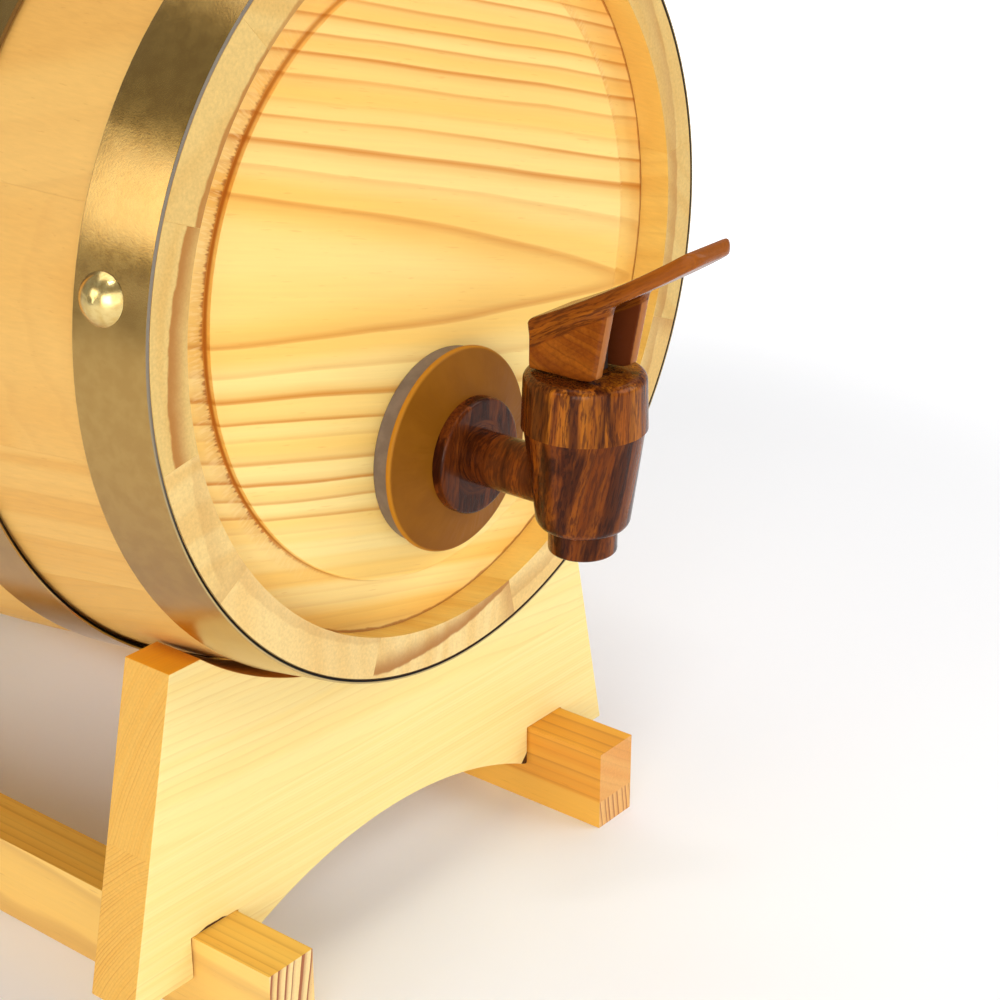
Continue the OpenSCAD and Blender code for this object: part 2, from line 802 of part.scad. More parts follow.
module lock_nut() {
    color("#5a3418") along_shank() difference() {
        translate([0, 0, nut_front]) cylinder(d = nut_flats / cos(30), h = nut_t, $fn = 6);
        translate([0, 0, nut_front - past]) cylinder(d = shank_d + 2 * slip, h = nut_t + 2 * past);
    }
}

front_saddle();
rear_saddle();
left_rail();
right_rail();
stand_screws();
for (i = [0:stave_count - 1]) stave(i);
front_head();
rear_head();
front_rim_hoop();
front_belly_hoop();
rear_belly_hoop();
rear_rim_hoop();
hoop_rivets();
bung();
tap_gasket();
tap_washer();
tap_body();
tap_bonnet();
bonnet_seal();
valve_stem();
seat_cup();
return_spring();
lever_pin();
tap_lever();
inner_washer();
lock_nut();
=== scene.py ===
import math

import bmesh
import bpy
from mathutils import Matrix, Vector


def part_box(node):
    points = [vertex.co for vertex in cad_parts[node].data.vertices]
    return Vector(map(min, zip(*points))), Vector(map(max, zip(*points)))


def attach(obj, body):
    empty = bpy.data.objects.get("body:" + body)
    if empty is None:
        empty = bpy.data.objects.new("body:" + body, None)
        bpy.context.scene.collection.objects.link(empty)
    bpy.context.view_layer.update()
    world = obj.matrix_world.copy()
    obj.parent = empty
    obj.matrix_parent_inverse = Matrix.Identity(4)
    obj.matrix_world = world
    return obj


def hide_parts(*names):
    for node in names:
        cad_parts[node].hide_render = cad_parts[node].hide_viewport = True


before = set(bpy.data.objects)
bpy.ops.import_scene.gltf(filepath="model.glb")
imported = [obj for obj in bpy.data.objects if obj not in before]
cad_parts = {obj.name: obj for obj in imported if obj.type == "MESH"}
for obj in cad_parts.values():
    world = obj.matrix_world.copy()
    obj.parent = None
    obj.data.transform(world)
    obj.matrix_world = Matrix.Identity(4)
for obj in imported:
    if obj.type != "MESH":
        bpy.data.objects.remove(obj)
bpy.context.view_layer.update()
mm = 0.001
hoopLow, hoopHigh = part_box("front_rim_hoop")
axisZ = (hoopLow.z + hoopHigh.z) / 2
print("frame loaded:", len(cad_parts), "nodes")


# Mesh tools

def cadCopy(*nodes):
    bm = bmesh.new()
    for node in nodes:
        bm.from_mesh(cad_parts[node].data)
    bmesh.ops.remove_doubles(bm, verts=bm.verts, dist=0.002 * mm)
    bmesh.ops.dissolve_limit(
        bm, angle_limit=math.radians(0.3), use_dissolve_boundaries=False, verts=bm.verts, edges=bm.edges
    )
    return bm


def softenEdges(bm, width, angle=40):
    edges = [e for e in bm.edges if len(e.link_faces) == 2 and e.calc_face_angle() > math.radians(angle)]
    bmesh.ops.bevel(
        bm, geom=edges, offset=width, offset_type="OFFSET", affect="EDGES", segments=2,
        profile=0.5, material=-1, clamp_overlap=True
    )


def addPiece(name, bm, body, material, nodes, sharpAngle=35, weighted=True):
    for edge in bm.edges:
        faces = edge.link_faces
        edge.smooth = len(faces) == 2 and edge.calc_face_angle() < math.radians(sharpAngle)
    for face in bm.faces:
        face.smooth = True
    mesh = bpy.data.meshes.new(name)
    bm.to_mesh(mesh)
    bm.free()
    piece = bpy.data.objects.new(name, mesh)
    bpy.context.scene.collection.objects.link(piece)
    mesh.materials.append(material)
    if weighted:
        piece.modifiers.new("weightedNormals", "WEIGHTED_NORMAL").keep_sharp = True
    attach(piece, body)
    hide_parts(*nodes)
    return piece


def dressNode(node, material):
    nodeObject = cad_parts[node]
    nodeObject.data.materials.clear()
    nodeObject.data.materials.append(material)


# Shader tools

def setInputs(tree, node, inputs):
    for key, value in inputs.items():
        if isinstance(value, bpy.types.NodeSocket):
            tree.links.new(value, node.inputs[key])
        else:
            node.inputs[key].default_value = value


def addNode(tree, kind, inputs=None, **settings):
    node = tree.nodes.new("ShaderNode" + kind)
    for key, value in settings.items():
        setattr(node, key, value)
    setInputs(tree, node, inputs or {})
    return node


def calc(tree, operation, *values, clamp=False):
    inputs = dict(enumerate(values))
    return addNode(tree, "Math", inputs, operation=operation, use_clamp=clamp).outputs[0]


def times(tree, first, *others):
    for other in others:
        first = calc(tree, "MULTIPLY", first, other)
    return first


def split(tree, vector):
    return addNode(tree, "SeparateXYZ", {0: vector}).outputs


def lengthOf(tree, vector):
    return addNode(tree, "VectorMath", {0: vector}, operation="LENGTH").outputs[1]


def mixColour(tree, factor, first, second, blend="MIX"):
    inputs = {0: factor, 6: first, 7: second}
    return addNode(tree, "Mix", inputs, data_type="RGBA", blend_type=blend).outputs[2]


def remap(tree, value, low, high):
    inputs = {0: value, 1: low, 2: high}
    return addNode(tree, "MapRange", inputs, interpolation_type="SMOOTHSTEP").outputs[0]


def ramp(tree, value, *stops):
    node = addNode(tree, "ValToRGB", {0: value})
    elements = node.color_ramp.elements
    while len(elements) < len(stops):
        elements.new(0.5)
    for element, (place, level) in zip(elements, stops):
        element.position = place
        element.color = (level, level, level, 1)
    return node.outputs[0]


def noise(tree, vector, scale, detail=2.0, roughness=0.5):
    spread = addNode(tree, "VectorMath", {0: vector, 1: scale}, operation="MULTIPLY").outputs[0]
    inputs = {"Vector": spread, "Scale": 1.0, "Detail": detail, "Roughness": roughness}
    return addNode(tree, "TexNoise", inputs).outputs[0]


def noise1(tree, value):
    inputs = {"W": value, "Scale": 1.0, "Detail": 1.0}
    return addNode(tree, "TexNoise", inputs, noise_dimensions="1D").outputs[0]


def turnedCoords(tree, coords, turn, shift):
    inputs = {"Vector": coords["Object"], "Location": shift, "Rotation": turn}
    return addNode(tree, "Mapping", inputs).outputs[0]


def newGroup(name, inputs, outputs):
    group = bpy.data.node_groups.new(name, "ShaderNodeTree")
    for socketName, kind in inputs.items():
        group.interface.new_socket(name=socketName, in_out="INPUT", socket_type="NodeSocket" + kind)
    for socketName, kind in outputs.items():
        group.interface.new_socket(name=socketName, in_out="OUTPUT", socket_type="NodeSocket" + kind)
    start = group.nodes.new("NodeGroupInput").outputs
    end = group.nodes.new("NodeGroupOutput").inputs
    return group, start, end


def placeGroup(tree, group, inputs):
    node = tree.nodes.new("ShaderNodeGroup")
    node.node_tree = group
    setInputs(tree, node, inputs)
    return node.outputs


def newMaterial(name):
    material = bpy.data.materials.new(name)
    material.use_nodes = True
    tree = material.node_tree
    tree.nodes.clear()
    shader = addNode(tree, "BsdfPrincipled")
    output = addNode(tree, "OutputMaterial")
    tree.links.new(shader.outputs[0], output.inputs[0])
    coords = addNode(tree, "TexCoord").outputs
    return material, tree, shader, coords


def bumpFrom(tree, shader, height, strength, distance):
    inputs = {"Height": height, "Strength": strength, "Distance": distance}
    tree.links.new(addNode(tree, "Bump", inputs).outputs[0], shader.inputs["Normal"])


def rgb(red, green, blue):
    return (red, green, blue, 1.0)


# Wood: growth rings round a pith that runs along local X, with fibres and pores along it

def makePineGroup():
    group, start, end = newGroup(
        "pineGrain",
        {"Vector": "Vector", "Ring Width": "Float", "Warp": "Float", "Early": "Color", "Deep": "Color",
         "Late": "Color", "Lines": "Float", "Fibres": "Float", "End": "Float", "End Tint": "Color",
         "End Lines": "Float", "Crowding": "Float", "Taper": "Float"},
        {"Color": "Color", "Roughness": "Float", "Height": "Float"},
    )
    tree = group
    pithReach = 15 * mm  # rings narrow along the trunk only this near the pith
    vector = start["Vector"]
    sway = noise(tree, vector, (6, 24, 24), 2.0)
    ripple = noise(tree, vector, (22, 95, 95), 2.0)
    bend = calc(tree, "MULTIPLY_ADD", calc(tree, "SUBTRACT", sway, 0.5), 2.0,
                times(tree, calc(tree, "SUBTRACT", ripple, 0.5), 0.45))
    parts = split(tree, vector)
    flat = addNode(tree, "CombineXYZ", {1: parts[1], 2: parts[2]}).outputs[0]
    reach = lengthOf(tree, flat)
    farOut = calc(tree, "POWER", calc(tree, "DIVIDE", reach, pithReach), 3.0)
    narrowing = calc(tree, "DIVIDE", times(tree, parts[0], start["Taper"]), calc(tree, "ADD", farOut, 1.0))
    swept = calc(tree, "MULTIPLY_ADD", bend, start["Warp"], calc(tree, "ADD", reach, narrowing))
    evenly = calc(tree, "MAXIMUM", calc(tree, "DIVIDE", swept, start["Ring Width"]), 0.0)
    crowded = calc(tree, "POWER", evenly, start["Crowding"])
    seasons = noise1(tree, times(tree, crowded, 0.31))
    phase = calc(tree, "MULTIPLY_ADD", calc(tree, "SUBTRACT", seasons, 0.5), 1.1, crowded)
    ring = calc(tree, "FRACT", phase)
    ringNumber = calc(tree, "FLOOR", phase)
    luck = addNode(tree, "TexWhiteNoise", {"W": ringNumber}, noise_dimensions="1D").outputs[0]
    profile = ramp(tree, ring, (0.0, 0.0), (0.4, 0.06), (0.72, 0.3), (0.89, 1.0), (0.96, 0.7), (1.0, 0.0))
    fading = remap(tree, noise(tree, vector, (8, 45, 45), 2.0), 0.3, 0.55)
    strength = times(tree, calc(tree, "MULTIPLY_ADD", luck, 0.75, 0.25),
                     calc(tree, "MULTIPLY_ADD", fading, 0.5, 0.5))
    contrast = calc(tree, "MULTIPLY_ADD", start["End"], start["End Lines"], start["Lines"])
    late = calc(tree, "MULTIPLY", times(tree, profile, strength), contrast, clamp=True)
    years = noise1(tree, calc(tree, "MULTIPLY_ADD", crowded, 0.47, 7.3))
    patches = noise(tree, vector, (4, 60, 60), 2.0)
    broad = remap(tree, calc(tree, "ADD", years, times(tree, patches, 0.5)), 0.6, 0.95)
    ground = mixColour(tree, broad, start["Early"], start["Deep"])
    lined = mixColour(tree, late, ground, start["Late"])
    fibre = noise(tree, vector, (42, 1500, 1500), 3.0, 0.6)
    roughSawn = times(tree, start["Fibres"], calc(tree, "MULTIPLY_ADD", start["End"], 1.2, 1.0))
    shift = calc(tree, "MULTIPLY_ADD", calc(tree, "SUBTRACT", fibre, 0.5), roughSawn, 1.0)
    streaked = addNode(tree, "HueSaturation", {"Value": shift, "Color": lined}).outputs[0]
    duct = remap(tree, noise(tree, vector, (150, 2300, 2300), 1.0), 0.7, 0.78)
    ducted = mixColour(tree, times(tree, duct, 0.2), streaked, start["Late"])
    ended = mixColour(tree, start["End"], ducted, start["End Tint"], "MULTIPLY")
    tree.links.new(ended, end["Color"])
    tree.links.new(calc(tree, "MULTIPLY_ADD", fibre, 0.22, 0.36), end["Roughness"])
    tree.links.new(calc(tree, "MULTIPLY_ADD", late, 0.5, fibre), end["Height"])
    return group


pineGroup = makePineGroup()


def pineLook(tree, coords, look, grainAxis):
    turned = turnedCoords(tree, coords, look["turn"], look["pith"])
    endFace = remap(tree, normalPart(tree, coords, grainAxis), 0.55, 0.85)
    return placeGroup(tree, pineGroup, {
        "Vector": turned, "Ring Width": look["ringWidth"], "Warp": look["warp"], "Early": look["early"],
        "Deep": look["deep"], "Late": look["late"], "Lines": look["lines"], "Fibres": look["fibres"],
        "End": endFace, "End Tint": look["endTint"], "End Lines": look["endLines"],
        "Crowding": look.get("crowding", 1.0), "Taper": look.get("taper", 0.0),
    })


def finishWood(tree, shader, colour, roughness, height, depth):
    tree.links.new(colour, shader.inputs["Base Color"])
    tree.links.new(roughness, shader.inputs["Roughness"])
    shader.inputs["Specular IOR Level"].default_value = 0.22
    bumpFrom(tree, shader, height, 0.35, depth)


# Distance from an axis along Y, and how far the point lies to the side and above it
def aboutAxis(tree, coords, height):
    parts = split(tree, coords["Object"])
    up = calc(tree, "SUBTRACT", parts[2], height)
    flat = addNode(tree, "CombineXYZ", {0: parts[0], 1: up}).outputs[0]
    radius = lengthOf(tree, flat)
    return radius, parts[0], up


def normalPart(tree, coords, axis):
    return calc(tree, "ABSOLUTE", split(tree, coords["Normal"])[axis])


def facingUp(tree, coords):
    return remap(tree, split(tree, coords["Normal"])[2], 0.9, 0.97)


def faceCorners(node, faceY):
    return [v.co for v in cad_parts[node].data.vertices if abs(v.co.y - faceY) < 0.1 * mm]


def faceRadii(node, faceY):
    return [math.hypot(v.x, v.z - axisZ) for v in faceCorners(node, faceY)]


# Rosewood film on the tap: dark bands, thin lines and pores that run along local X

def makeRosewoodGroup():
    group, start, end = newGroup(
        "rosewoodFilm",
        {"Vector": "Vector", "Light": "Color", "Body": "Color", "Dark": "Color", "Band": "Color",
         "Bands": "Float", "Lines": "Float"},
        {"Color": "Color", "Height": "Float"},
    )
    tree = group
    vector = start["Vector"]
    sway = noise(tree, vector, (40, 130, 130), 1.0)
    swing = times(tree, calc(tree, "SUBTRACT", sway, 0.5), 3 * mm)
    slid = addNode(tree, "VectorMath", {0: vector, 1: swing}, operation="ADD").outputs[0]
    broad = remap(tree, noise(tree, slid, (8, 150, 150), 3.0, 0.6), 0.48, 0.55)
    middle = remap(tree, noise(tree, slid, (14, 650, 650), 2.0), 0.46, 0.62)
    thin = remap(tree, noise(tree, slid, (45, 1900, 1900), 2.0), 0.44, 0.6)
    tone = noise(tree, slid, (10, 420, 420), 2.0)
    pore = remap(tree, noise(tree, slid, (190, 1900, 1900), 3.0, 0.6), 0.46, 0.6)
    ground = mixColour(tree, remap(tree, tone, 0.35, 0.65), start["Body"], start["Light"])
    lined = mixColour(tree, times(tree, thin, start["Lines"]), ground, start["Dark"])
    streaked = mixColour(tree, times(tree, middle, 0.3), lined, start["Dark"])
    pored = mixColour(tree, times(tree, pore, 0.75), streaked, start["Dark"])
    share = calc(tree, "MULTIPLY", broad, start["Bands"], clamp=True)
    tree.links.new(mixColour(tree, share, pored, start["Band"], "MULTIPLY"), end["Color"])
    tree.links.new(calc(tree, "SUBTRACT", 1.0, pore), end["Height"])
    return group


rosewoodGroup = makeRosewoodGroup()


# Soft mottling for plastics, rubbers and metals

def makeMottleGroup():
    group, start, end = newGroup(
        "mottle",
        {"Vector": "Vector", "Scale": "Float", "Pale": "Color", "Dark": "Color", "Rough Low": "Float",
         "Rough High": "Float"},
        {"Color": "Color", "Roughness": "Float", "Height": "Float"},
    )
    tree = group
    inputs = {0: start["Vector"], 3: start["Scale"]}
    spread = addNode(tree, "VectorMath", inputs, operation="SCALE").outputs[0]
    cloud = noise(tree, spread, (1, 1, 1), 3.0, 0.6)
    grit = noise(tree, spread, (7, 7, 7), 2.0)
    share = remap(tree, cloud, 0.35, 0.65)
    tree.links.new(mixColour(tree, share, start["Dark"], start["Pale"]), end["Color"])
    blended = calc(tree, "MULTIPLY_ADD", calc(tree, "SUBTRACT", grit, 0.5), 0.6, cloud)
    span = calc(tree, "SUBTRACT", start["Rough High"], start["Rough Low"])
    tree.links.new(calc(tree, "MULTIPLY_ADD", blended, span, start["Rough Low"]), end["Roughness"])
    tree.links.new(grit, end["Height"])
    return group


mottleGroup = makeMottleGroup()


def mottleLook(tree, coords, scale, pale, dark, rough):
    return placeGroup(tree, mottleGroup, {
        "Vector": coords["Object"], "Scale": scale, "Pale": pale, "Dark": dark,
        "Rough Low": rough[0], "Rough High": rough[1],
    })


def makePlain(name, pale, dark, scale, rough, metallic=0.0, specular=0.5):
    material, tree, shader, coords = newMaterial(name)
    look = mottleLook(tree, coords, scale, pale, dark, rough)
    tree.links.new(look["Color"], shader.inputs["Base Color"])
    tree.links.new(look["Roughness"], shader.inputs["Roughness"])
    shader.inputs["Metallic"].default_value = metallic
    shader.inputs["Specular IOR Level"].default_value = specular
    bumpFrom(tree, shader, look["Height"], 0.3, 0.02 * mm)
    return material


print("shader groups ready")


# Staves

endRadii = faceRadii("stave_01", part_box("stave_01")[0].y)

staveLook = {
    "count": 12,
    "edge": 0.06 * mm,
    "early": rgb(0.71, 0.41, 0.11),
    "deep": rgb(0.67, 0.355, 0.083),
    "late": rgb(0.44, 0.18, 0.035),
    "endTint": rgb(0.94, 1.10, 1.36),
    "paleEnd": rgb(1.15, 1.43, 2.2),
    "paleAngle": 265.0,
    "endLines": -0.16,
    # Painted light: the staves' inner wall is made paler
    "inside": rgb(1.26, 1.5, 1.45),
    # Burn marks on the stave ends, also used as painted shade along their inner edge
    "burnAndShade": rgb(0.36, 0.125, 0.016),
    "darkBands": {
        1: (3.5, 6.5, 0.4), 2: (5.0, 4.0, 0.3), 3: (2.0, 5.0, 0.3), 4: (1.2, 0.7, 0.6), 5: (0.7, 1.3, 0.8),
        6: (3.1, 6.0, 0.85), 7: (2.0, 7.0, 0.2), 8: (3.0, 1.0, 0.2), 9: (8.2, 0.4, 0.85), 10: (5.0, 7.0, 0.3),
        11: (6.5, 3.0, 0.4), 12: (3.5, 3.5, 0.5),
    },
    "fade": 5.5 * mm,
    "jointShade": {7: 0.25, 9: 0.5, 11: 0.45},
    # Painted shadow beside the hoops, where they stand off the stave ends
    "gap": rgb(0.02, 0.013, 0.008),
    "gapWidth": 0.15 * mm,
}


# How far the hoops stand off, which sets where shadow is painted beside them: not at the upper left, and most
# at the lower right
def hoopShadeSide(tree, side, up):
    return remap(tree, calc(tree, "SUBTRACT", side, times(tree, up, 0.8)), -95 * mm, -45 * mm)


# A brown band, a burn mark that is also painted shade along the inner edge, lies within a line across the
# stave's end, and some ends darken towards a joint
def staveEndMarks(tree, coords, colour, index, place):
    radius, side, up = aboutAxis(tree, coords, axisZ)
    endFace = remap(tree, normalPart(tree, coords, 1), 0.55, 0.85)
    inner, outer = min(endRadii), max(endRadii)
    node = "stave_%02d" % index
    corners = faceCorners(node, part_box(node)[0].y)
    turns = [math.remainder(math.atan2(v.z - axisZ, v.x) - place, math.tau) for v in corners]
    first, last = min(turns), max(turns)
    ahead = calc(tree, "MULTIPLY_ADD", side, math.cos(place), times(tree, up, math.sin(place)))
    aside = calc(tree, "MULTIPLY_ADD", up, math.cos(place), times(tree, side, -math.sin(place)))
    turn = calc(tree, "ARCTAN2", aside, ahead)
    near, far, share = staveLook["darkBands"][index]
    slope = (far - near) * mm / (last - first)
    line = calc(tree, "MULTIPLY_ADD", turn, slope, inner + near * mm - slope * first)
    wander = calc(tree, "SUBTRACT", noise(tree, coords["Object"], (260, 260, 260), 3.0), 0.5)
    across = calc(tree, "MULTIPLY_ADD", wander, 1.4 * mm, calc(tree, "SUBTRACT", radius, line))
    darkBand = times(tree, remap(tree, across, 0.4 * mm, -0.2 * mm),
                   remap(tree, across, -staveLook["fade"], -0.3 * mm))
    shade = remap(tree, turn, last - staveLook["fade"] / inner, last)
    shade = times(tree, shade, staveLook["jointShade"].get(index, 0.0))
    burnAndShade = calc(tree, "MAXIMUM", times(tree, darkBand, share), shade)
    marked = mixColour(tree, times(tree, burnAndShade, endFace), colour, staveLook["burnAndShade"])
    # Painted light: the inner wall is made paler than the outside
    middle = (inner + outer) / 2
    within = times(tree, remap(tree, radius, middle + 0.5 * mm, middle - 0.5 * mm),
                   calc(tree, "SUBTRACT", 1.0, endFace))
    lit = mixColour(tree, within, marked, staveLook["inside"], "MULTIPLY")
    # Painted shadow: a dark line along the end's outer edge where the hoop stands off
    gap = remap(tree, radius, outer - staveLook["gapWidth"], outer - 0.7 * staveLook["gapWidth"])
    gap = times(tree, gap, endFace, hoopShadeSide(tree, side, up))
    return mixColour(tree, gap, lit, staveLook["gap"])


def makeStaveWood(index):
    material, tree, shader, coords = newMaterial("staveWood%02d" % index)
    spin = 2.4 * index
    low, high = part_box("stave_%02d" % index)
    place = math.atan2((low.z + high.z) / 2 - axisZ, (low.x + high.x) / 2)
    paleness = max(0.0, math.cos(place - math.radians(staveLook["paleAngle"])))
    look = dict(staveLook)
    look["endTint"] = tuple(Vector(staveLook["endTint"]).lerp(Vector(staveLook["paleEnd"]), paleness))
    look["pith"] = (0.11 * index, 0.10 * math.cos(spin), -0.11 * math.sin(spin) - 0.05)
    look["turn"] = (0.0, 0.01 * math.sin(3.0 * spin), math.radians(-90.0 + 1.2 * math.sin(spin)))
    look["ringWidth"] = (3.4 + 1.3 * math.sin(1.7 * spin)) * mm
    look["warp"] = 3.0 * mm
    look["lines"] = 0.2 + 0.08 * math.sin(5.0 * spin)
    look["fibres"] = 0.2
    grain = pineLook(tree, coords, look, 1)
    colour = staveEndMarks(tree, coords, grain["Color"], index, place)
    finishWood(tree, shader, colour, grain["Roughness"], grain["Height"], 0.06 * mm)
    return material


for index in range(1, staveLook["count"] + 1):
    node = "stave_%02d" % index
    bm = cadCopy(node)
    softenEdges(bm, staveLook["edge"])
    addPiece("stave%02d" % index, bm, "barrel", makeStaveWood(index), [node])
print("staves ready")


# Heads

headLook = {
    "edge": 0.7 * mm,
    "tilt": 14.1,
    "pithDepth": 1.5 * mm,
    "ringWidth": 12.2 * mm,
    "crowding": 1.6,
    "taper": 0.125,
    "warp": 2.3 * mm,
    "early": rgb(0.96, 0.72, 0.265),
    "deep": rgb(0.94, 0.60, 0.15),
    "late": rgb(0.62, 0.235, 0.026),
    "plainFrom": -50 * mm,
    "fibres": 0.14,
    "endTint": rgb(0.86, 0.74, 0.55),
    # Painted shade towards the top of the head
    "topShade": rgb(0.97, 0.84, 0.70),
    "endLines": 0.0,
    "crozeAt": 8.5 * mm,
    # Painted shade in the groove and along the staves, also the dark of the torn fibres
    "groove": rgb(0.42, 0.125, 0.012),
    "fleck": rgb(0.88, 0.62, 0.28),
}


wallRadius = min(faceRadii("stave_01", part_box("stave_01")[0].y + headLook["crozeAt"]))


# Dark groove round the panel, painted as shade in it and on the sunk step below the face, with torn fibres
# where the grain ends, and a dark line of painted shade along the staves where the head meets them
def headMarks(tree, coords, grainColour, panelRadius, faceY):
    radius, side, up = aboutAxis(tree, coords, axisZ)
    # Painted shade: the head is made darker and more orange towards its top
    colour = mixColour(tree, remap(tree, up, -45 * mm, 70 * mm), grainColour, headLook["topShade"], "MULTIPLY")
    fromEdge = calc(tree, "SUBTRACT", radius, panelRadius)
    outside = remap(tree, fromEdge, 0.05 * mm, 0.2 * mm)
    endGrain = remap(tree, calc(tree, "DIVIDE", calc(tree, "ABSOLUTE", side), panelRadius), 0.45, 0.9)
    arc = times(tree, calc(tree, "ARCTAN2", side, up), panelRadius)
    polar = addNode(tree, "CombineXYZ", {0: arc, 1: radius}).outputs[0]
    fray = calc(tree, "SUBTRACT", noise(tree, polar, (1700, 220, 1), 2.0), 0.5)
    reach = calc(tree, "MULTIPLY_ADD", times(tree, fray, endGrain), 2.4 * mm, fromEdge)
    groove = times(tree, remap(tree, reach, 0.7 * mm, 0.1 * mm), outside)
    dug = times(tree, groove, calc(tree, "MULTIPLY_ADD", endGrain, 0.45, 0.4))
    place = split(tree, coords["Object"])[1]
    depth = calc(tree, "ABSOLUTE", calc(tree, "SUBTRACT", place, faceY))
    # Painted shade on the step wall sunk below the face
    sunkShade = times(tree, remap(tree, depth, 0.5 * mm, 1.2 * mm), remap(tree, fromEdge, 0.25 * mm, 0.05 * mm),
                 calc(tree, "MULTIPLY_ADD", endGrain, 0.4, 0.55))
    grooved = mixColour(tree, calc(tree, "MAXIMUM", dug, sunkShade), colour, headLook["groove"])
    fleck = remap(tree, noise(tree, polar, (1900, 260, 1), 2.0), 0.45, 0.58)
    zone = times(tree, remap(tree, fromEdge, 4.0 * mm, 2.0 * mm), remap(tree, fromEdge, 0.3 * mm, 0.9 * mm))
    torn = times(tree, zone, endGrain, 0.4, calc(tree, "MULTIPLY_ADD", fleck, 0.7, 0.3))
    fibres = mixColour(tree, fleck, headLook["groove"], headLook["fleck"])
    frayed = mixColour(tree, torn, grooved, fibres)
    # Painted shade along the line where the head meets the staves
    wander = noise(tree, polar, (300, 300, 1), 2.0)
    toWall = calc(tree, "MULTIPLY_ADD", calc(tree, "SUBTRACT", wander, 0.5), 1.0 * mm, radius)
    seam = remap(tree, toWall, wallRadius - 0.8 * mm, wallRadius - 0.3 * mm)
    return mixColour(tree, times(tree, seam, 0.75), frayed, headLook["groove"])


def makeHeadWood(name, node, faceY):
    material, tree, shader, coords = newMaterial(name)
    look = dict(headLook)
    tilt = math.radians(headLook["tilt"])
    side = math.copysign(1.0, faceY)
    turn = Matrix.Rotation(-tilt, 4, "Y")
    pith = turn @ Vector((0.0, faceY - side * headLook["pithDepth"], axisZ))
    look["turn"] = turn.to_euler("XYZ")
    look["pith"] = -pith
    across, up = aboutAxis(tree, coords, axisZ)[1:]
    abovePith = calc(tree, "MULTIPLY_ADD", across, math.tan(tilt), up)
    plain = headLook["plainFrom"]
    look["lines"] = calc(tree, "MULTIPLY_ADD", remap(tree, abovePith, plain - 4 * mm, plain), 0.8, 0.2)
    grain = pineLook(tree, coords, look, 0)
    colour = headMarks(tree, coords, grain["Color"], max(faceRadii(node, faceY)), faceY)
    finishWood(tree, shader, colour, grain["Roughness"], grain["Height"], 0.05 * mm)
    return material


for name, node in (("frontHead", "front_head"), ("rearHead", "rear_head")):
    low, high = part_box(node)
    faceY = low.y if low.y < 0 else high.y
    bm = cadCopy(node)
    softenEdges(bm, headLook["edge"])
    addPiece(name, bm, "barrel", makeHeadWood(name + "Wood", node, faceY), [node])
print("heads ready")


# Hoops and rivets

hoopLook = {
    "edge": 0.3 * mm,
    "pale": rgb(0.45, 0.265, 0.058),
    "dark": rgb(0.41, 0.23, 0.045),
    "cutEdge": rgb(0.24, 0.19, 0.13),
    # Painted shadow on the cut edge where the hoop stands off
    "edgeShadow": rgb(0.008, 0.006, 0.004),
    "rimEdge": rgb(0.52, 0.37, 0.14),
    "edgeShadowWidth": 0.5 * mm,
    "coat": 0.7,
    "rough": (0.16, 0.27),
}


# The cut edge that faces outward has painted shadow on its inner half, black and without coat, where the hoop
# stands off
def makeHoopBrass(name, node):
    material, tree, shader, coords = newMaterial(name)
    look = mottleLook(tree, coords, 300.0, hoopLook["pale"], hoopLook["dark"], hoopLook["rough"])
    cut = remap(tree, normalPart(tree, coords, 1), 0.8, 0.95)
    radius, side, up = aboutAxis(tree, coords, axisZ)
    shadeSide = hoopShadeSide(tree, side, up)
    low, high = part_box(node)
    outwardY = low.y if (low.y + high.y) / 2 < staveMiddle else high.y
    darkTo = min(faceRadii(node, outwardY)) + hoopLook["edgeShadowWidth"]
    inward = remap(tree, radius, darkTo + 0.1 * mm, darkTo - 0.1 * mm)
    shadowedEdge = mixColour(tree, inward, hoopLook["rimEdge"], hoopLook["edgeShadow"])
    edge = mixColour(tree, shadeSide, hoopLook["cutEdge"], shadowedEdge)
    tree.links.new(mixColour(tree, cut, look["Color"], edge), shader.inputs["Base Color"])
    tree.links.new(look["Roughness"], shader.inputs["Roughness"])
    # No coat on the painted shadow
    bare = calc(tree, "SUBTRACT", 1.0, times(tree, cut, shadeSide, inward))
    shader.inputs["Metallic"].default_value = 1.0
    tree.links.new(times(tree, bare, hoopLook["coat"]), shader.inputs["Coat Weight"])
    shader.inputs["Coat Roughness"].default_value = 0.2
    bumpFrom(tree, shader, look["Height"], 0.5, 0.025 * mm)
    return material


staveMiddle = sum(corner.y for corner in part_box("stave_01")) / 2
for name, node in (("frontRimHoop", "front_rim_hoop"), ("frontBellyHoop", "front_belly_hoop"),
                   ("rearBellyHoop", "rear_belly_hoop"), ("rearRimHoop", "rear_rim_hoop")):
    bm = cadCopy(node)
    softenEdges(bm, hoopLook["edge"])
    addPiece(name, bm, "barrel", makeHoopBrass(name + "Brass", node), [node])

rivetBrass = makePlain("rivetBrass", rgb(0.80, 0.60, 0.24), rgb(0.70, 0.48, 0.16), 700.0, (0.16, 0.3),
                       metallic=1.0)
addPiece("hoopRivets", cadCopy("hoop_rivets"), "barrel", rivetBrass, ["hoop_rivets"],
         weighted=False)
print("hoops ready")


# Stand

standLook = {
    "edge": 0.5 * mm,
    "glueLine": 44.3 * mm,
    "early": rgb(0.95, 0.755, 0.31),
    "deep": rgb(0.94, 0.72, 0.27),
    "late": rgb(0.78, 0.50, 0.165),
    "endTint": rgb(0.85, 0.60, 0.28),
    "endLines": 0.5,
    "fibres": 0.12,
    "warp": 1.6 * mm,
    "coat": 0.12,
    "coatRough": 0.3,
    # Painted shade on the horns' tops and in the barrel's hollow
    "hornShade": rgb(0.97, 0.57, 0.07),
    "hollowShade": rgb(0.58, 0.32, 0.12),
    "notchGap": 0.4 * mm,
    # Painted shadow in the joins where the rails pass the boards
    "seams": {"left_rail": (0.85 * mm, 0.0), "right_rail": (0.0, 2.6 * mm)},
    "toeHeight": 4 * mm,
    "seam": rgb(0.06, 0.018, 0.004),
}
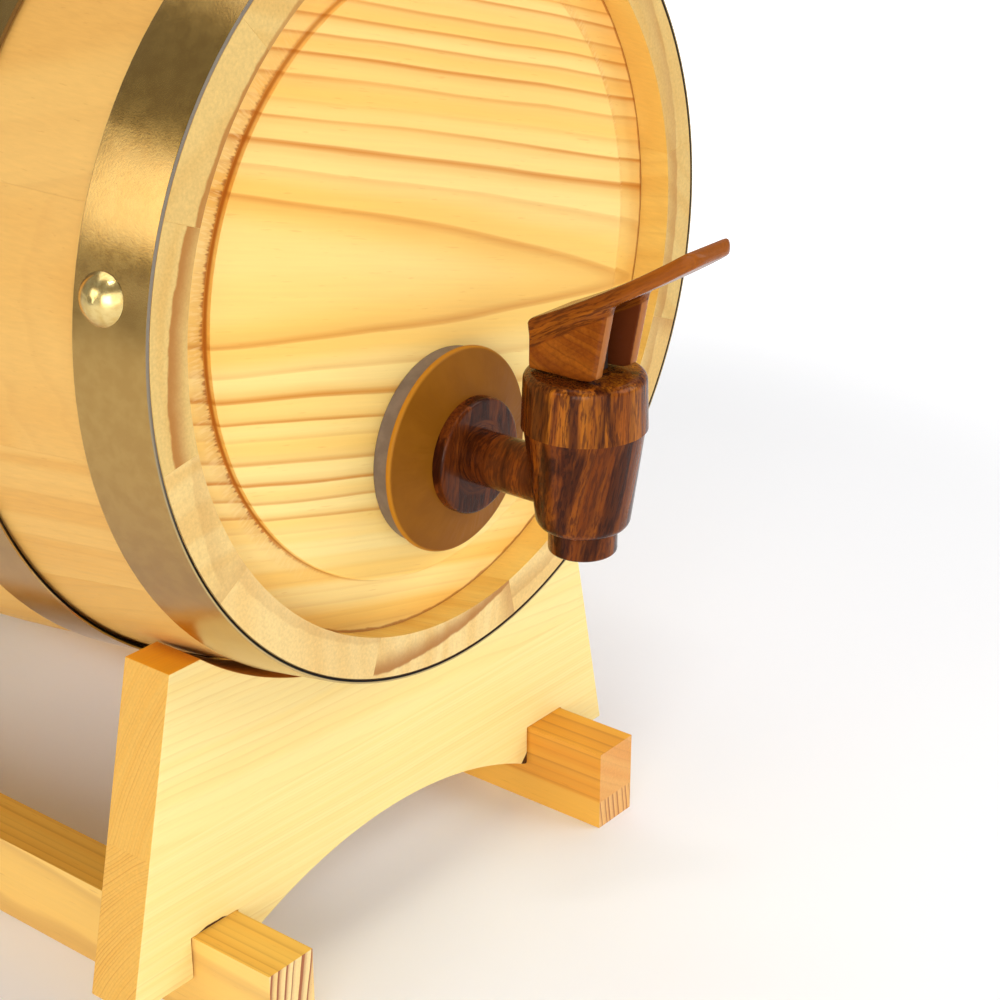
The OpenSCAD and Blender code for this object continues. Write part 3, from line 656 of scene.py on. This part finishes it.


# Painted shadow in the joins round the rails: how far each opens above the rail, and beside it at the toe of
# the board
def notchSeamShades(tree, coords, colour, boardLow):
    parts = split(tree, coords["Object"])
    rough = calc(tree, "MULTIPLY_ADD", noise(tree, coords["Object"], (260, 260, 260), 3.0), 1.2, 0.3)
    atToe = remap(tree, parts[2], boardLow + standLook["toeHeight"], boardLow)
    facing = remap(tree, normalPart(tree, coords, 1), 0.8, 0.95)
    for node, (above, beside) in standLook["seams"].items():
        low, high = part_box(node)
        fromMiddle = calc(tree, "SUBTRACT", parts[0], (low.x + high.x) / 2)
        halfNotch = (high.x - low.x) / 2 + standLook["notchGap"]
        lens = times(tree, remap(tree, fromMiddle, -halfNotch, -0.3 * halfNotch),
                     remap(tree, fromMiddle, 0.7 * halfNotch, 0.2 * halfNotch))
        raised = times(tree, lens, rough, above)
        toTop = calc(tree, "SUBTRACT", calc(tree, "SUBTRACT", parts[2], high.z), raised)
        opened = times(tree, atToe, remap(tree, fromMiddle, 1 * mm, -1 * mm))
        toSide = calc(tree, "MULTIPLY_ADD", opened, -beside,
                      calc(tree, "SUBTRACT", calc(tree, "ABSOLUTE", fromMiddle), halfNotch))
        # Painted shadow along the notch's edge
        seam = remap(tree, calc(tree, "MAXIMUM", toSide, toTop), 0.1 * mm, -0.1 * mm)
        colour = mixColour(tree, times(tree, seam, facing), colour, standLook["seam"])
    return colour


def lacquer(shader):
    shader.inputs["Coat Weight"].default_value = standLook["coat"]
    shader.inputs["Coat Roughness"].default_value = standLook["coatRough"]


# A board is glued from two pieces, and painted shade makes the barrel's hollow and the horns' tops darker
# than its face
def makeBoardWood(name, low, high):
    boardY = (low.y + high.y) / 2
    material, tree, shader, coords = newMaterial(name)
    upper = dict(standLook, pith=(0.0, 141 * mm - boardY, -14 * mm), turn=(0.0, 0.02, 0.03),
                 ringWidth=0.85 * mm, lines=0.4)
    lower = dict(standLook, pith=(0.3, 42 * mm - boardY, 15 * mm), turn=(0.0, -0.03, -0.02),
                 ringWidth=0.75 * mm, lines=0.4, endLines=1.1)
    upperGrain = pineLook(tree, coords, upper, 0)
    lowerGrain = pineLook(tree, coords, lower, 0)
    height = split(tree, coords["Object"])[2]
    above = remap(tree, height, standLook["glueLine"] - 0.1 * mm, standLook["glueLine"] + 0.1 * mm)
    colour = mixColour(tree, above, lowerGrain["Color"], upperGrain["Color"])
    # Painted shade on the horns' upward faces and in the barrel's hollow
    colour = mixColour(tree, facingUp(tree, coords), colour, standLook["hornShade"], "MULTIPLY")
    radius, side, up = aboutAxis(tree, coords, axisZ)
    normal = split(tree, coords["Normal"])
    outward = calc(tree, "MULTIPLY_ADD", normal[0], side, times(tree, normal[2], up))
    hollow = remap(tree, calc(tree, "DIVIDE", outward, radius), -0.8, -0.95)
    colour = mixColour(tree, hollow, colour, standLook["hollowShade"], "MULTIPLY")
    colour = notchSeamShades(tree, coords, colour, low.z)
    finishWood(tree, shader, colour, upperGrain["Roughness"], upperGrain["Height"], 0.04 * mm)
    lacquer(shader)
    return material


# A rail may have another piece of wood glued on above a height
def makeRailWood(name, rail):
    material, tree, shader, coords = newMaterial(name)
    look = dict(standLook, turn=(0.0, 0.0, math.radians(-90.4)))
    look.update(rail, warp=1.2 * mm)
    grain = pineLook(tree, coords, look, 1)
    colour = grain["Color"]
    if "upper" in rail:
        look.update(rail["upper"])
        height = split(tree, coords["Object"])[2]
        above = remap(tree, height, rail["glueLine"] - 0.3 * mm, rail["glueLine"] + 0.3 * mm)
        colour = mixColour(tree, above, colour, pineLook(tree, coords, look, 1)["Color"])
    colour = mixColour(tree, facingUp(tree, coords), colour, rail["topTint"], "MULTIPLY")
    finishWood(tree, shader, colour, grain["Roughness"], grain["Height"], 0.04 * mm)
    lacquer(shader)
    return material


for name, node in (("frontSaddle", "front_saddle"), ("rearSaddle", "rear_saddle")):
    low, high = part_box(node)
    bm = cadCopy(node)
    softenEdges(bm, standLook["edge"])
    addPiece(name, bm, "stand", makeBoardWood(name + "Wood", low, high), [node])

railLooks = {
    "leftRail": {
        "node": "left_rail",
        "pith": (0.0, 0.16, 0.02),
        "ringWidth": 2.4 * mm,
        "early": rgb(0.93, 0.62, 0.18),
        "deep": rgb(0.91, 0.56, 0.14),
        "late": rgb(0.36, 0.10, 0.025),
        "topTint": rgb(0.92, 0.82, 0.48),
        "endTint": rgb(0.98, 1.08, 1.65),
        "lines": 0.36,
        "endLines": 2.4,
    },
    "rightRail": {
        "node": "right_rail",
        "pith": (0.0, -0.16, 0.03),
        "ringWidth": 1.7 * mm,
        "early": rgb(0.86, 0.46, 0.075),
        "deep": rgb(0.83, 0.42, 0.06),
        "late": rgb(0.46, 0.15, 0.022),
        "topTint": rgb(1.04, 1.08, 0.75),
        "endTint": rgb(0.95, 1.02, 2.1),
        "lines": 0.36,
        "endLines": 2.4,
        "glueLine": 7.2 * mm,
        "upper": {
            "pith": (0.0, -0.03, 0.12),
            "ringWidth": 2.2 * mm,
            "early": rgb(0.80, 0.37, 0.048),
            "deep": rgb(0.77, 0.32, 0.036),
            "lines": 0.6,
            "endLines": -0.4,
        },
    },
}
for name, rail in railLooks.items():
    bm = cadCopy(rail["node"])
    softenEdges(bm, standLook["edge"])
    addPiece(name, bm, "stand", makeRailWood(name + "Wood", rail), [rail["node"]])

screwBrass = makePlain("screwBrass", rgb(0.72, 0.55, 0.22), rgb(0.6, 0.43, 0.15), 900.0, (0.25, 0.4),
                       metallic=1.0)
addPiece("standScrews", cadCopy("stand_screws"), "stand", screwBrass, ["stand_screws"],
         weighted=False)
print("stand ready")


# Bung

def makeBungWood():
    material, tree, shader, coords = newMaterial("bungWood")
    low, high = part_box("bung")
    look = dict(staveLook, pith=(0.0, -(low.y + high.y) / 2 - 0.03, 0.03),
                turn=(0.0, math.radians(90.0), 0.0), ringWidth=2.4 * mm, warp=1.5 * mm, lines=0.55,
                fibres=0.2, endTint=rgb(0.9, 0.85, 0.75))
    grain = pineLook(tree, coords, look, 2)
    finishWood(tree, shader, grain["Color"], grain["Roughness"], grain["Height"], 0.05 * mm)
    return material


addPiece("bung", cadCopy("bung"), "bung", makeBungWood(), ["bung"], weighted=False)
print("bung ready")


# Tap

neckZ = sum(corner.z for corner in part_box("tap_washer")) / 2
tapY = sum(corner.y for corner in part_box("valve_stem")) / 2

filmLooks = {
    "bodyFilm": {
        "light": rgb(0.25, 0.062, 0.005),
        "body": rgb(0.155, 0.032, 0.003),
        "grain": (0.12, -0.16, 0.98),
        "shift": (0.11, 0.041, -0.012),
        "bands": 0.95,
    },
    "bonnetFilm": {
        "light": rgb(0.41, 0.125, 0.008),
        "body": rgb(0.28, 0.068, 0.005),
        "grain": (0.03, -0.04, 1.0),
        "shift": (0.07, 0.031, 0.006),
        "bands": 0.9,
    },
}

tapLook = {
    "dark": rgb(0.062, 0.014, 0.004),
    "band": rgb(0.28, 0.22, 0.42),
    "neckLight": rgb(0.22, 0.050, 0.006),
    "neckBody": rgb(0.12, 0.024, 0.003),
    "leverLight": rgb(0.295, 0.079, 0.006),
    "leverBody": rgb(0.205, 0.046, 0.004),
    "leverRing": rgb(0.10, 0.023, 0.004),
    "leverTip": rgb(0.32, 0.086, 0.008),
    # Bare plastic, and a painted lit copy of it for faces turned to the front or back
    "plain": rgb(0.13, 0.028, 0.007),
    "plainLit": rgb(0.36, 0.125, 0.03),
    "leverSlope": 28.8,
    "plateThick": 4.9 * mm,
    "leverVoxel": 0.3 * mm,
    "leverSmoothing": 34,
    "rearRound": 1.3 * mm,
    "neckRadius": 7 * mm,
    "neckWave": 2.2,
    "highlight": rgb(1.0, 0.72, 0.45),
}


def rosewoodFinish(tree, shader, colour, height):
    tree.links.new(colour, shader.inputs["Base Color"])
    shader.inputs["Roughness"].default_value = 0.24
    shader.inputs["Specular IOR Level"].default_value = 0.1
    shader.inputs["Specular Tint"].default_value = tapLook["highlight"]
    shader.inputs["Coat Weight"].default_value = 0.14
    shader.inputs["Coat Roughness"].default_value = 0.06
    bumpFrom(tree, shader, height, 0.3, 0.05 * mm)


def rosewoodLook(tree, vector, light, body, bands, lines=0.25):
    return placeGroup(tree, rosewoodGroup, {
        "Vector": vector, "Light": light, "Body": body, "Dark": tapLook["dark"], "Band": tapLook["band"],
        "Bands": bands, "Lines": lines,
    })


# Turns coordinates so that local X runs along the film's grain
def grainTurn(along, across):
    along = Vector(along).normalized()
    across = (Vector(across) - along * along.dot(Vector(across))).normalized()
    return Matrix((along, across, along.cross(across))).to_euler("XYZ")


# The film's grain stands upright, but runs round the neck
def makeTapFilm(name):
    film = filmLooks[name]
    material, tree, shader, coords = newMaterial(name)
    turned = turnedCoords(tree, coords, grainTurn(film["grain"], (1.0, 0.0, 0.0)), film["shift"])
    upright = rosewoodLook(tree, turned, film["light"], film["body"], film["bands"])
    radius, side, up = aboutAxis(tree, coords, neckZ)
    place = split(tree, coords["Object"])[1]
    arc = times(tree, calc(tree, "ARCTAN2", side, up), radius, tapLook["neckWave"])
    wrapped = addNode(tree, "CombineXYZ", {0: arc, 1: place, 2: radius}).outputs[0]
    around = rosewoodLook(tree, wrapped, tapLook["neckLight"], tapLook["neckBody"], 0.6, 0.6)
    flange = rosewoodLook(tree, turned, tapLook["neckLight"], tapLook["neckBody"], film["bands"], 0.5)
    onFlange = remap(tree, radius, tapLook["neckRadius"], tapLook["neckRadius"] + 2 * mm)
    neck = mixColour(tree, onFlange, around["Color"], flange["Color"])
    behind = remap(tree, place, tapY + 9 * mm, tapY + 10 * mm)
    rosewoodFinish(tree, shader, mixColour(tree, behind, upright["Color"], neck), upright["Height"])
    return material


# The lever has lengthwise streaks on its plate, rings on its cheeks and bare plastic between them, painted
# lighter where it faces the front or back
def makeLeverFilm():
    material, tree, shader, coords = newMaterial("leverFilm")
    low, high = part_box("tap_lever")
    slope = math.radians(tapLook["leverSlope"])
    lengthwise = grainTurn((0.0, -math.cos(slope), math.sin(slope)), (1.0, 0.0, 0.0))
    turned = turnedCoords(tree, coords, lengthwise, (0.0, 0.0, 0.031))
    plate = rosewoodLook(tree, turned, tapLook["leverLight"], tapLook["leverBody"], 0.4)
    pithY = low.y + 0.52 * (high.y - low.y)
    pithZ = low.z + 0.62 * (high.z - low.z)
    centred = turnedCoords(tree, coords, (0.0, 0.0, 0.0), (0.0, -pithY, -pithZ))
    cheek = placeGroup(tree, pineGroup, {
        "Vector": centred, "Ring Width": 1.6 * mm, "Warp": 5.0 * mm, "Early": tapLook["leverLight"],
        "Deep": tapLook["leverBody"], "Late": tapLook["leverRing"], "Lines": 0.7, "Fibres": 0.9, "End": 0.0,
        "End Tint": rgb(1.0, 1.0, 1.0), "End Lines": 0.0, "Crowding": 1.0, "Taper": 0.0,
    })
    parts = split(tree, coords["Object"])
    fall = times(tree, calc(tree, "SUBTRACT", parts[1], low.y), math.tan(slope))
    belowTop = calc(tree, "SUBTRACT", high.z, calc(tree, "ADD", parts[2], fall))
    onCheek = remap(tree, belowTop, tapLook["plateThick"], tapLook["plateThick"] + 0.6 * mm)
    toTip = remap(tree, parts[1], low.y + 22 * mm, low.y + 6 * mm)
    tipped = mixColour(tree, times(tree, toTip, 0.7), plate["Color"], tapLook["leverTip"])
    figured = mixColour(tree, 0.2, cheek["Color"], plate["Color"])
    film = mixColour(tree, onCheek, tipped, figured)
    sideways = times(tree, normalPart(tree, coords, 0), calc(tree, "ABSOLUTE", parts[0]))
    outside = remap(tree, sideways, 4.6 * mm, 5.6 * mm)
    bare = times(tree, onCheek, calc(tree, "SUBTRACT", 1.0, outside))
    # Painted light: bare plastic facing the front or back is lighter
    facing = remap(tree, normalPart(tree, coords, 1), 0.4, 0.8)
    plastic = mixColour(tree, facing, tapLook["plain"], tapLook["plainLit"])
    rosewoodFinish(tree, shader, mixColour(tree, bare, film, plastic), plate["Height"])
    return material


for name, node, film in (("tapBody", "tap_body", "bodyFilm"), ("tapBonnet", "tap_bonnet", "bonnetFilm")):
    addPiece(name, cadCopy(node), "barrel", makeTapFilm(film), [node], weighted=False)

leverMesh = cadCopy("tap_lever")
rearY = max(v.co.y for v in leverMesh.verts)
rearEdges = [e for e in leverMesh.edges if all(v.co.y > rearY - 0.2 * mm for v in e.verts)]
bmesh.ops.bevel(
    leverMesh, geom=rearEdges, offset=tapLook["rearRound"], offset_type="OFFSET", affect="EDGES", segments=4,
    profile=0.5, material=-1
)
tapLever = addPiece("tapLever", leverMesh, "lever", makeLeverFilm(), ["tap_lever"],
                    weighted=False)
moulded = tapLever.modifiers.new("moulded", "REMESH")
moulded.voxel_size = tapLook["leverVoxel"]
moulded.use_smooth_shade = True
rounded = tapLever.modifiers.new("rounded", "SMOOTH")
rounded.iterations = tapLook["leverSmoothing"]

washerLook = {
    "pale": rgb(0.25, 0.088, 0.006),
    "dark": rgb(0.228, 0.077, 0.005),
    # Painted highlight along the washer's rim
    "rim": rgb(0.46, 0.185, 0.014),
    "rough": (0.3, 0.42),
}


def makeWasherRubber():
    material, tree, shader, coords = newMaterial("washerRubber")
    look = mottleLook(tree, coords, 120.0, washerLook["pale"], washerLook["dark"], washerLook["rough"])
    low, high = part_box("tap_washer")
    rim = (high.x - low.x) / 2
    radius = aboutAxis(tree, coords, neckZ)[0]
    # Painted highlight: the rim is lighter orange, for the light that shines off and through its thin rounded
    # edge
    onRim = remap(tree, radius, rim - 0.6 * mm, rim - 0.1 * mm)
    tree.links.new(mixColour(tree, onRim, look["Color"], washerLook["rim"]), shader.inputs["Base Color"])
    tree.links.new(look["Roughness"], shader.inputs["Roughness"])
    shader.inputs["Specular IOR Level"].default_value = 0.06
    bumpFrom(tree, shader, look["Height"], 0.3, 0.02 * mm)
    return material


addPiece("tapWasher", cadCopy("tap_washer"), "barrel", makeWasherRubber(), ["tap_washer"],
         weighted=False)

gasketLook = {
    "edge": 0.5 * mm,
    "pale": rgb(0.215, 0.16, 0.12),
    "dark": rgb(0.17, 0.125, 0.092),
    "rough": (0.4, 0.6),
}
gasketRubber = makePlain("gasketRubber", gasketLook["pale"], gasketLook["dark"], 260.0, gasketLook["rough"],
                         specular=0.3)
gasketMesh = cadCopy("tap_gasket")
softenEdges(gasketMesh, gasketLook["edge"])
addPiece("tapGasket", gasketMesh, "barrel", gasketRubber, ["tap_gasket"])

darkPlastic = makePlain("stemPlastic", rgb(0.06, 0.035, 0.025), rgb(0.035, 0.02, 0.014), 300.0, (0.3, 0.45))
sealRubber = makePlain("sealRubber", rgb(0.05, 0.045, 0.042), rgb(0.03, 0.027, 0.025), 500.0, (0.5, 0.65))
springSteel = makePlain("springSteel", rgb(0.62, 0.61, 0.59), rgb(0.5, 0.49, 0.47), 900.0, (0.2, 0.35),
                        metallic=1.0)
nutPlastic = makePlain("nutPlastic", rgb(0.16, 0.075, 0.03), rgb(0.11, 0.05, 0.02), 300.0, (0.35, 0.5))
for node, material in (("valve_stem", darkPlastic), ("lever_pin", darkPlastic), ("seat_cup", sealRubber),
                       ("bonnet_seal", sealRubber), ("return_spring", springSteel),
                       ("inner_washer", nutPlastic), ("lock_nut", nutPlastic)):
    dressNode(node, material)
print("tap ready")


# Floor, light and camera

stageLook = {
    "floorSize": 7.0,
    "floor": rgb(0.93, 0.935, 0.95),
    "whiteFrom": 0.3,
    "whiteTo": 0.75,
    "worldLevel": 0.32,
    "backdropTop": 8.0,
    "panels": {
        "keyPanel": ((0.75, -1.15, 0.85), (0.0, -0.05, 0.12), 0.9, 0.9, 8.5),
        "fillPanel": ((-0.75, -1.25, 0.5), (0.0, -0.05, 0.12), 1.0, 1.0, 4.5),
        "sidePanel": ((-1.2, -0.75, 0.4), (0.0, -0.05, 0.12), 0.7, 0.7, 7.5),
        "bandPanel": ((-1.0, 0.24, 0.58), (-0.09, -0.08, 0.2), 0.5, 0.4, 1.8),
        "topPanel": ((0.5, 0.4, 1.9), (0.2, 0.2, 0.0), 2.0, 2.0, 18.5),
        "glintPanel": ((-0.34, -0.37, 1.35), (0.0, -0.12, 0.14), 0.24, 0.03, 1.5),
    },
    "eye": (-0.320959, -0.356543, 0.284698),
    "pitch": 66.715,
    "yaw": -51.458,
    "lens": 77.38,
}


def makeFloor():
    bm = bmesh.new()
    bmesh.ops.create_grid(bm, x_segments=1, y_segments=1, size=stageLook["floorSize"])
    mesh = bpy.data.meshes.new("floor")
    bm.to_mesh(mesh)
    bm.free()
    floor = bpy.data.objects.new("floor", mesh)
    bpy.context.scene.collection.objects.link(floor)
    material, tree, shader, coords = newMaterial("floorPaper")
    shader.inputs["Base Color"].default_value = stageLook["floor"]
    shader.inputs["Roughness"].default_value = 0.8
    shader.inputs["Emission Color"].default_value = rgb(1.0, 1.0, 1.0)
    away = lengthOf(tree, coords["Object"])
    far = remap(tree, away, stageLook["whiteFrom"], stageLook["whiteTo"])
    seen = times(tree, far, addNode(tree, "LightPath").outputs["Is Camera Ray"])
    tree.links.new(seen, shader.inputs["Emission Strength"])
    mesh.materials.append(material)


# Metal and glass see the white background up to a low backdrop's top, and a dimmer room above it
def mirroredBackdrop(tree):
    rays = addNode(tree, "LightPath").outputs
    mirrored = calc(tree, "MAXIMUM", rays["Is Glossy Ray"], rays["Is Transmission Ray"])
    upward = split(tree, addNode(tree, "TexCoord").outputs["Generated"])[2]
    top = math.sin(math.radians(stageLook["backdropTop"]))
    return times(tree, mirrored, remap(tree, upward, top, 0.0))


def makeLights():
    world = bpy.data.worlds.new("studio")
    world.use_nodes = True
    tree = world.node_tree
    sky = tree.nodes["Background"].inputs
    sky["Color"].default_value = rgb(1.0, 1.0, 1.0)
    direct = addNode(tree, "LightPath").outputs["Is Camera Ray"]
    seen = calc(tree, "MAXIMUM", direct, mirroredBackdrop(tree))
    tree.links.new(calc(tree, "MAXIMUM", seen, stageLook["worldLevel"]), sky["Strength"])
    bpy.context.scene.world = world
    for name, (place, target, width, height, watts) in stageLook["panels"].items():
        lamp = bpy.data.lights.new(name, "AREA")
        lamp.shape = "RECTANGLE"
        lamp.size = width
        lamp.size_y = height
        lamp.energy = watts
        panel = bpy.data.objects.new(name, lamp)
        panel.location = place
        panel.rotation_euler = (Vector(target) - Vector(place)).to_track_quat("-Z", "Y").to_euler()
        bpy.context.scene.collection.objects.link(panel)


def makeCamera():
    lens = bpy.data.cameras.new("camera")
    lens.lens = stageLook["lens"]
    lens.sensor_width = 36.0
    camera = bpy.data.objects.new("camera", lens)
    camera.location = stageLook["eye"]
    camera.rotation_euler = (math.radians(stageLook["pitch"]), 0.0, math.radians(stageLook["yaw"]))
    bpy.context.scene.collection.objects.link(camera)
    bpy.context.scene.camera = camera


makeFloor()
makeLights()
makeCamera()
bpy.context.scene.view_settings.view_transform = "Standard"
print("stage ready")
